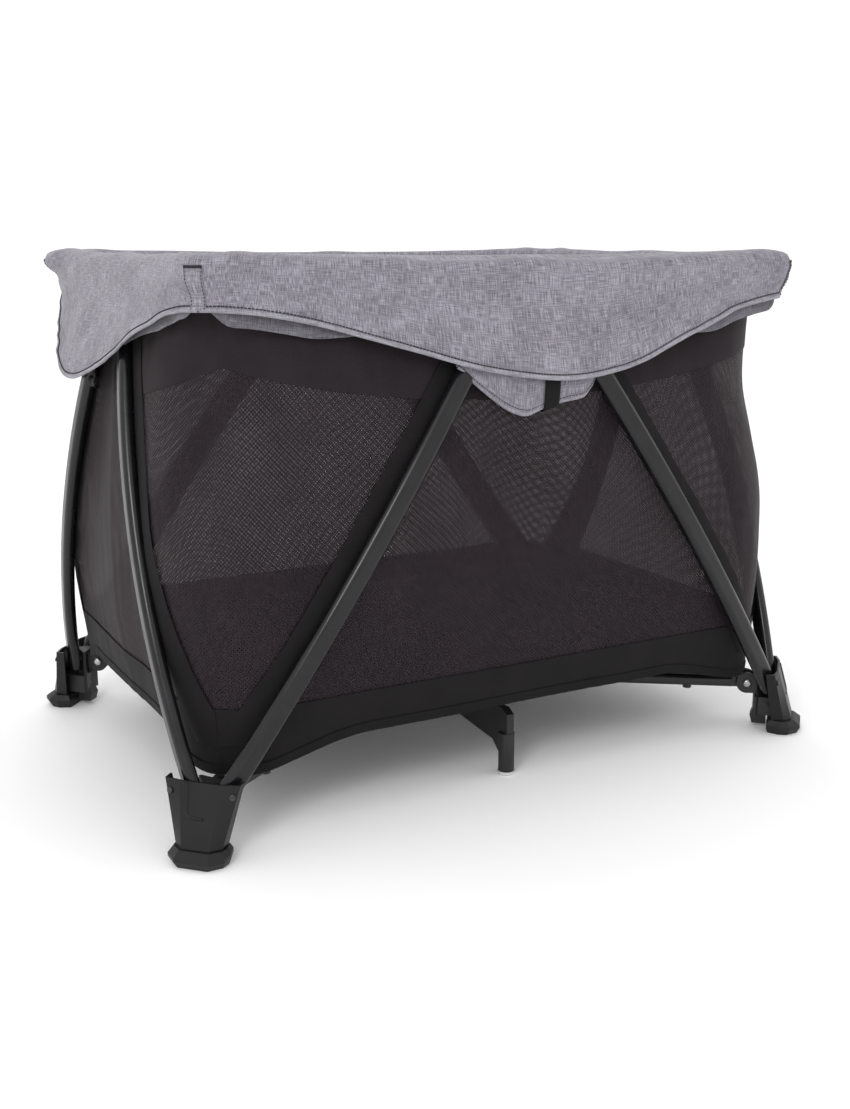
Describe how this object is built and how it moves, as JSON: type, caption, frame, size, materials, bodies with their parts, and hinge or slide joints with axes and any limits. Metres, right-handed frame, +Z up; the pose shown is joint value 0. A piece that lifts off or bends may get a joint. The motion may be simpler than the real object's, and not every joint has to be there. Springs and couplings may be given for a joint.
{
  "type": "playpen",
  "caption": "Folding playpen with mesh sides on bowed zig-zag tube frame, padded grey rim with outer flap, quilted floor pad, hubbed floor frame and flared corner feet.",
  "frame": {"origin": "centre of the footprint on the floor", "axes": "+X along the long side to the right, +Z up, front side toward -Y"},
  "size_m": [1.076, 0.768, 0.766],
  "materials": {
    "rubber": "soft matt",
    "casing": "fine grained satin",
    "core": "fine grained matt",
    "frame": "satin powder coat",
    "arm": "satin powder coat",
    "button": "satin",
    "mesh": "knitted net with woven borders",
    "rim": "heather slub weave",
    "tip": "satin",
    "base": "woven polyester",
    "mattress": "quilted heather weave"
  },
  "bodies": {
    "foot_front_left": {"foot_pad_front_left": "rubber", "foot_casing_front_left": "casing", "foot_core_front_left": "core"},
    "foot_front_right": {"foot_pad_front_right": "rubber", "foot_casing_front_right": "casing", "foot_core_front_right": "core"},
    "foot_back_left": {"foot_pad_back_left": "rubber", "foot_casing_back_left": "casing", "foot_core_back_left": "core"},
    "foot_back_right": {"foot_pad_back_right": "rubber", "foot_casing_back_right": "casing", "foot_core_back_right": "core"},
    "hub": {"hub_body": "core", "hub_cover": "core", "floor_panel": "base"},
    "arm_front_left": {"floor_arm_front_left": "arm"},
    "arm_front_right": {"floor_arm_front_right": "arm"},
    "arm_back_left": {"floor_arm_back_left": "arm"},
    "arm_back_right": {"floor_arm_back_right": "arm"},
    "leg_front": {"centre_leg_front": "core", "centre_leg_tip_front": "tip"},
    "leg_back": {"centre_leg_back": "core", "centre_leg_tip_back": "tip"},
    "long_tube_front_left": {"long_tube_front_left": "frame"},
    "short_tube_front_left": {"short_tube_front_left": "frame"},
    "long_tube_front_right": {"long_tube_front_right": "frame"},
    "short_tube_front_right": {"short_tube_front_right": "frame"},
    "long_tube_back_left": {"long_tube_back_left": "frame"},
    "short_tube_back_left": {"short_tube_back_left": "frame"},
    "long_tube_back_right": {"long_tube_back_right": "frame"},
    "short_tube_back_right": {"short_tube_back_right": "frame"},
    "joint_front": {"rail_joint_front": "core", "wall_front": "mesh", "rim_flap_front": "rim"},
    "button_front": {"lock_button_front": "button"},
    "joint_back": {"rail_joint_back": "core", "wall_back": "mesh", "rim_flap_back": "rim"},
    "button_back": {"lock_button_back": "button"},
    "joint_left": {"rail_joint_left": "core", "wall_left": "mesh", "rim_flap_left": "rim"},
    "button_left": {"lock_button_left": "button"},
    "joint_right": {"rail_joint_right": "core", "wall_right": "mesh", "rim_flap_right": "rim"},
    "button_right": {"lock_button_right": "button"},
    "long_rail_front_left": {"long_rail_front_left": "frame", "rail_corner_front_left": "core"},
    "short_rail_front_left": {"short_rail_front_left": "frame"},
    "long_rail_front_right": {"long_rail_front_right": "frame", "rail_corner_front_right": "core"},
    "short_rail_front_right": {"short_rail_front_right": "frame"},
    "long_rail_back_left": {"long_rail_back_left": "frame", "rail_corner_back_left": "core"},
    "short_rail_back_left": {"short_rail_back_left": "frame"},
    "long_rail_back_right": {"long_rail_back_right": "frame", "rail_corner_back_right": "core"},
    "short_rail_back_right": {"short_rail_back_right": "frame"},
    "mattress": {"mattress": "mattress"}
  },
  "joints": [
    {"name": "fold", "type": "hinge", "parent": "foot_front_left", "child": "arm_front_left", "pos_m": [-0.451, -0.31, 0.078], "axis": [0.5665, -0.8241, 0], "range_deg": [0, 76], "deforming": ["wall_front", "wall_back", "wall_left", "wall_right", "rim_flap_front", "rim_flap_back", "rim_flap_left", "rim_flap_right", "floor_panel", "mattress"]},
    {"name": "hub_level", "type": "hinge", "parent": "arm_front_left", "child": "hub", "pos_m": [-0.04532, -0.03115, 0.078], "axis": [-0.5665, 0.8241, 0], "range_deg": [0, 76]},
    {"name": "arm_fold_front_right", "type": "hinge", "parent": "hub", "child": "arm_front_right", "pos_m": [0.04532, -0.03115, 0.078], "axis": [0.5665, 0.8241, 0], "range_deg": [0, 76]},
    {"name": "foot_level_front_right", "type": "hinge", "parent": "arm_front_right", "child": "foot_front_right", "pos_m": [0.451, -0.31, 0.078], "axis": [-0.5665, -0.8241, 0], "range_deg": [0, 76]},
    {"name": "arm_fold_back_left", "type": "hinge", "parent": "hub", "child": "arm_back_left", "pos_m": [-0.04532, 0.03115, 0.078], "axis": [-0.5665, -0.8241, 0], "range_deg": [0, 76]},
    {"name": "foot_level_back_left", "type": "hinge", "parent": "arm_back_left", "child": "foot_back_left", "pos_m": [-0.451, 0.31, 0.078], "axis": [0.5665, 0.8241, 0], "range_deg": [0, 76]},
    {"name": "arm_fold_back_right", "type": "hinge", "parent": "hub", "child": "arm_back_right", "pos_m": [0.04532, 0.03115, 0.078], "axis": [-0.5665, 0.8241, 0], "range_deg": [0, 76]},
    {"name": "foot_level_back_right", "type": "hinge", "parent": "arm_back_right", "child": "foot_back_right", "pos_m": [0.451, 0.31, 0.078], "axis": [0.5665, -0.8241, 0], "range_deg": [0, 76]},
    {"name": "leg_fold_front", "type": "hinge", "parent": "hub", "child": "leg_front", "pos_m": [0, -0.055, 0.078], "axis": [1, 0, 0], "range_deg": [0, 70]},
    {"name": "leg_fold_back", "type": "hinge", "parent": "hub", "child": "leg_back", "pos_m": [0, 0.055, 0.078], "axis": [-1, 0, 0], "range_deg": [0, 70]},
    {"name": "long_tube_fold_front_left", "type": "hinge", "parent": "foot_front_left", "child": "long_tube_front_left", "pos_m": [-0.464, -0.344, 0.082], "axis": [0, -1, 0], "range_deg": [0, 24.95]},
    {"name": "short_tube_fold_front_left", "type": "hinge", "parent": "foot_front_left", "child": "short_tube_front_left", "pos_m": [-0.4925, -0.313, 0.082], "axis": [1, 0, 0], "range_deg": [0, 18.16]},
    {"name": "long_tube_fold_front_right", "type": "hinge", "parent": "foot_front_right", "child": "long_tube_front_right", "pos_m": [0.464, -0.344, 0.082], "axis": [0, 1, 0], "range_deg": [0, 24.95]},
    {"name": "short_tube_fold_front_right", "type": "hinge", "parent": "foot_front_right", "child": "short_tube_front_right", "pos_m": [0.4925, -0.313, 0.082], "axis": [1, 0, 0], "range_deg": [0, 18.16]},
    {"name": "long_tube_fold_back_left", "type": "hinge", "parent": "foot_back_left", "child": "long_tube_back_left", "pos_m": [-0.464, 0.344, 0.082], "axis": [0, -1, 0], "range_deg": [0, 24.95]},
    {"name": "short_tube_fold_back_left", "type": "hinge", "parent": "foot_back_left", "child": "short_tube_back_left", "pos_m": [-0.4925, 0.313, 0.082], "axis": [-1, 0, 0], "range_deg": [0, 18.16]},
    {"name": "long_tube_fold_back_right", "type": "hinge", "parent": "foot_back_right", "child": "long_tube_back_right", "pos_m": [0.464, 0.344, 0.082], "axis": [0, 1, 0], "range_deg": [0, 24.95]},
    {"name": "short_tube_fold_back_right", "type": "hinge", "parent": "foot_back_right", "child": "short_tube_back_right", "pos_m": [0.4925, 0.313, 0.082], "axis": [-1, 0, 0], "range_deg": [0, 18.16]},
    {"name": "joint_level_front", "type": "hinge", "parent": "long_tube_front_left", "child": "joint_front", "pos_m": [-0.035, -0.322, 0.716], "axis": [0, 1, 0], "range_deg": [0, 24.95]},
    {"name": "lock_press_front", "type": "slide", "parent": "joint_front", "child": "button_front", "axis": [0, 0, 1], "range_m": [0, 0.006], "stiffness_N_per_m": 150, "springref_m": -0.004},
    {"name": "joint_level_back", "type": "hinge", "parent": "long_tube_back_left", "child": "joint_back", "pos_m": [-0.035, 0.322, 0.716], "axis": [0, 1, 0], "range_deg": [0, 24.95]},
    {"name": "lock_press_back", "type": "slide", "parent": "joint_back", "child": "button_back", "axis": [0, 0, 1], "range_m": [0, 0.006], "stiffness_N_per_m": 150, "springref_m": -0.004},
    {"name": "joint_level_left", "type": "hinge", "parent": "short_tube_front_left", "child": "joint_left", "pos_m": [-0.466, -0.035, 0.716], "axis": [-1, 0, 0], "range_deg": [0, 18.16]},
    {"name": "lock_press_left", "type": "slide", "parent": "joint_left", "child": "button_left", "axis": [0, 0, 1], "range_m": [0, 0.006], "stiffness_N_per_m": 150, "springref_m": -0.004},
    {"name": "joint_level_right", "type": "hinge", "parent": "short_tube_front_right", "child": "joint_right", "pos_m": [0.466, -0.035, 0.716], "axis": [-1, 0, 0], "range_deg": [0, 18.16]},
    {"name": "lock_press_right", "type": "slide", "parent": "joint_right", "child": "button_right", "axis": [0, 0, 1], "range_m": [0, 0.006], "stiffness_N_per_m": 150, "springref_m": -0.004},
    {"name": "long_rail_fold_front_left", "type": "hinge", "parent": "joint_front", "child": "long_rail_front_left", "pos_m": [-0.035, -0.298, 0.742], "axis": [0, -1, 0], "range_deg": [0, 82]},
    {"name": "short_rail_fold_front_left", "type": "hinge", "parent": "joint_left", "child": "short_rail_front_left", "pos_m": [-0.442, -0.035, 0.742], "axis": [1, 0, 0], "range_deg": [0, 80]},
    {"name": "long_rail_fold_front_right", "type": "hinge", "parent": "joint_front", "child": "long_rail_front_right", "pos_m": [0.035, -0.298, 0.742], "axis": [0, 1, 0], "range_deg": [0, 82]},
    {"name": "short_rail_fold_front_right", "type": "hinge", "parent": "joint_right", "child": "short_rail_front_right", "pos_m": [0.442, -0.035, 0.742], "axis": [1, 0, 0], "range_deg": [0, 80]},
    {"name": "long_rail_fold_back_left", "type": "hinge", "parent": "joint_back", "child": "long_rail_back_left", "pos_m": [-0.035, 0.298, 0.742], "axis": [0, -1, 0], "range_deg": [0, 82]},
    {"name": "short_rail_fold_back_left", "type": "hinge", "parent": "joint_left", "child": "short_rail_back_left", "pos_m": [-0.442, 0.035, 0.742], "axis": [-1, 0, 0], "range_deg": [0, 80]},
    {"name": "long_rail_fold_back_right", "type": "hinge", "parent": "joint_back", "child": "long_rail_back_right", "pos_m": [0.035, 0.298, 0.742], "axis": [0, 1, 0], "range_deg": [0, 82]},
    {"name": "short_rail_fold_back_right", "type": "hinge", "parent": "joint_right", "child": "short_rail_back_right", "pos_m": [0.442, 0.035, 0.742], "axis": [-1, 0, 0], "range_deg": [0, 80]},
    {"name": "mattress_lift", "type": "slide", "parent": "hub", "child": "mattress", "axis": [0, 0, 1], "range_m": [0, 0.92]}
  ],
  "couplings": [
    {"joint": "hub_level", "follows": "fold", "ratio": 1},
    {"joint": "arm_fold_front_right", "follows": "fold", "ratio": 1},
    {"joint": "foot_level_front_right", "follows": "fold", "ratio": 1},
    {"joint": "arm_fold_back_left", "follows": "fold", "ratio": 1},
    {"joint": "foot_level_back_left", "follows": "fold", "ratio": 1},
    {"joint": "arm_fold_back_right", "follows": "fold", "ratio": 1},
    {"joint": "foot_level_back_right", "follows": "fold", "ratio": 1},
    {"joint": "leg_fold_front", "follows": "fold", "ratio": 0.92105},
    {"joint": "leg_fold_back", "follows": "fold", "ratio": 0.92105},
    {"joint": "long_tube_fold_front_left", "follows": "fold", "ratio": 0.32835},
    {"joint": "short_tube_fold_front_left", "follows": "fold", "ratio": 0.23888},
    {"joint": "long_tube_fold_front_right", "follows": "fold", "ratio": 0.32835},
    {"joint": "short_tube_fold_front_right", "follows": "fold", "ratio": 0.23888},
    {"joint": "long_tube_fold_back_left", "follows": "fold", "ratio": 0.32835},
    {"joint": "short_tube_fold_back_left", "follows": "fold", "ratio": 0.23888},
    {"joint": "long_tube_fold_back_right", "follows": "fold", "ratio": 0.32835},
    {"joint": "short_tube_fold_back_right", "follows": "fold", "ratio": 0.23888},
    {"joint": "joint_level_front", "follows": "fold", "ratio": 0.32835},
    {"joint": "joint_level_back", "follows": "fold", "ratio": 0.32835},
    {"joint": "joint_level_left", "follows": "fold", "ratio": 0.23888},
    {"joint": "joint_level_right", "follows": "fold", "ratio": 0.23888},
    {"joint": "long_rail_fold_front_left", "follows": "fold", "ratio": 1.0789},
    {"joint": "short_rail_fold_front_left", "follows": "fold", "ratio": 1.0526},
    {"joint": "long_rail_fold_front_right", "follows": "fold", "ratio": 1.0789},
    {"joint": "short_rail_fold_front_right", "follows": "fold", "ratio": 1.0526},
    {"joint": "long_rail_fold_back_left", "follows": "fold", "ratio": 1.0789},
    {"joint": "short_rail_fold_back_left", "follows": "fold", "ratio": 1.0526},
    {"joint": "long_rail_fold_back_right", "follows": "fold", "ratio": 1.0789},
    {"joint": "short_rail_fold_back_right", "follows": "fold", "ratio": 1.0526},
    {"joint": "mattress_lift", "follows": "fold", "m_per_rad": 0.69357}
  ]
}
